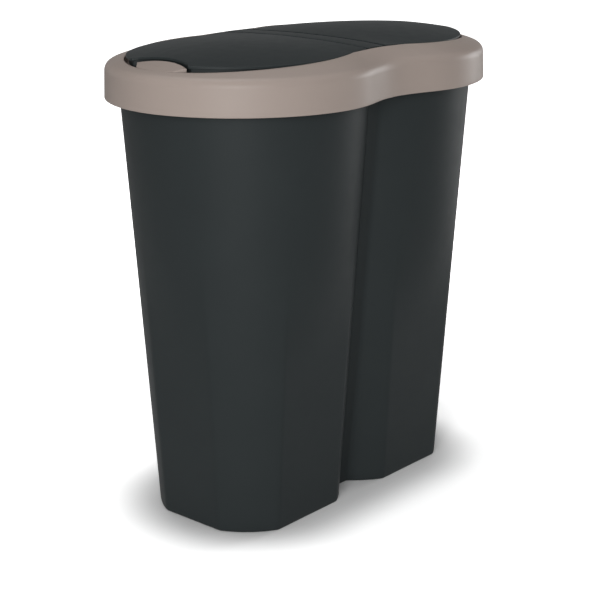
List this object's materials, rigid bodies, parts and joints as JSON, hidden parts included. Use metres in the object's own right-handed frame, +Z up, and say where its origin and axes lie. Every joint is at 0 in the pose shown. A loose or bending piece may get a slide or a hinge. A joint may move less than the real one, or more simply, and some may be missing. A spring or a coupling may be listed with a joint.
{
  "type": "double recycling bin",
  "caption": "Figure-of-eight waste bin with two round chambers, a lift-off lid frame, and two domed flap lids hinged at the middle, each let go by a push button.",
  "frame": {"origin": "centre of the base, on the floor", "axes": "+X along the bin through both chambers, +Y to the back, +Z up"},
  "size_m": [0.4748, 0.2914, 0.5063],
  "materials": {
    "graphite_plastic": "satin moulded polypropylene, dark graphite",
    "taupe_plastic": "satin moulded polypropylene, taupe",
    "steel": "zinc-plated",
    "rubber": "matte"
  },
  "bodies": {
    "container": {"tub": "graphite_plastic", "divider_panel": "graphite_plastic"},
    "lid_frame_unit": {"lid_frame": "taupe_plastic", "hinge_bridge": "graphite_plastic", "bridge_screw_1": "steel", "bridge_screw_2": "steel", "bridge_screw_3": "steel", "bridge_screw_4": "steel", "left_hinge_pin": "steel", "left_pin_clip_front": "steel", "left_pin_clip_back": "steel", "left_lid_spring": "steel", "left_button_spring": "steel", "left_latch_pin": "steel", "right_hinge_pin": "steel", "right_pin_clip_front": "steel", "right_pin_clip_back": "steel", "right_lid_spring": "steel", "right_button_spring": "steel", "right_latch_pin": "steel"},
    "left_lid_flap": {"left_lid": "graphite_plastic", "left_lid_buffer_front": "rubber", "left_lid_buffer_back": "rubber"},
    "left_push_button": {"left_button": "taupe_plastic", "left_button_clip": "steel"},
    "left_latch_lever": {"left_latch": "graphite_plastic"},
    "right_lid_flap": {"right_lid": "graphite_plastic", "right_lid_buffer_front": "rubber", "right_lid_buffer_back": "rubber"},
    "right_push_button": {"right_button": "taupe_plastic", "right_button_clip": "steel"},
    "right_latch_lever": {"right_latch": "graphite_plastic"}
  },
  "joints": [
    {"name": "frame_lift", "type": "slide", "parent": "container", "child": "lid_frame_unit", "axis": [0, 0, 1], "range_m": [0, 0.06]},
    {"name": "left_lid_hinge", "type": "hinge", "parent": "lid_frame_unit", "child": "left_lid_flap", "pos_m": [-0.024, 0, 0.4965], "axis": [0, 1, 0], "range_deg": [0, 80]},
    {"name": "left_button_press", "type": "slide", "parent": "lid_frame_unit", "child": "left_push_button", "axis": [0, 0, -1], "range_m": [0, 0.0035], "stiffness_N_per_m": 800, "springref_m": -0.002, "deforming": ["left_button_spring"]},
    {"name": "left_latch_tilt", "type": "hinge", "parent": "lid_frame_unit", "child": "left_latch_lever", "pos_m": [-0.192, 0, 0.47], "axis": [0, -1, 0], "range_deg": [0, 13]},
    {"name": "right_lid_hinge", "type": "hinge", "parent": "lid_frame_unit", "child": "right_lid_flap", "pos_m": [0.024, 0, 0.4965], "axis": [0, -1, 0], "range_deg": [0, 80]},
    {"name": "right_button_press", "type": "slide", "parent": "lid_frame_unit", "child": "right_push_button", "axis": [0, 0, -1], "range_m": [0, 0.0035], "stiffness_N_per_m": 800, "springref_m": -0.002, "deforming": ["right_button_spring"]},
    {"name": "right_latch_tilt", "type": "hinge", "parent": "lid_frame_unit", "child": "right_latch_lever", "pos_m": [0.192, 0, 0.47], "axis": [0, 1, 0], "range_deg": [0, 13]}
  ],
  "couplings": [
    {"joint": "left_latch_tilt", "follows": "left_button_press", "rad_per_m": 60.6},
    {"joint": "right_latch_tilt", "follows": "right_button_press", "rad_per_m": 60.6}
  ]
}
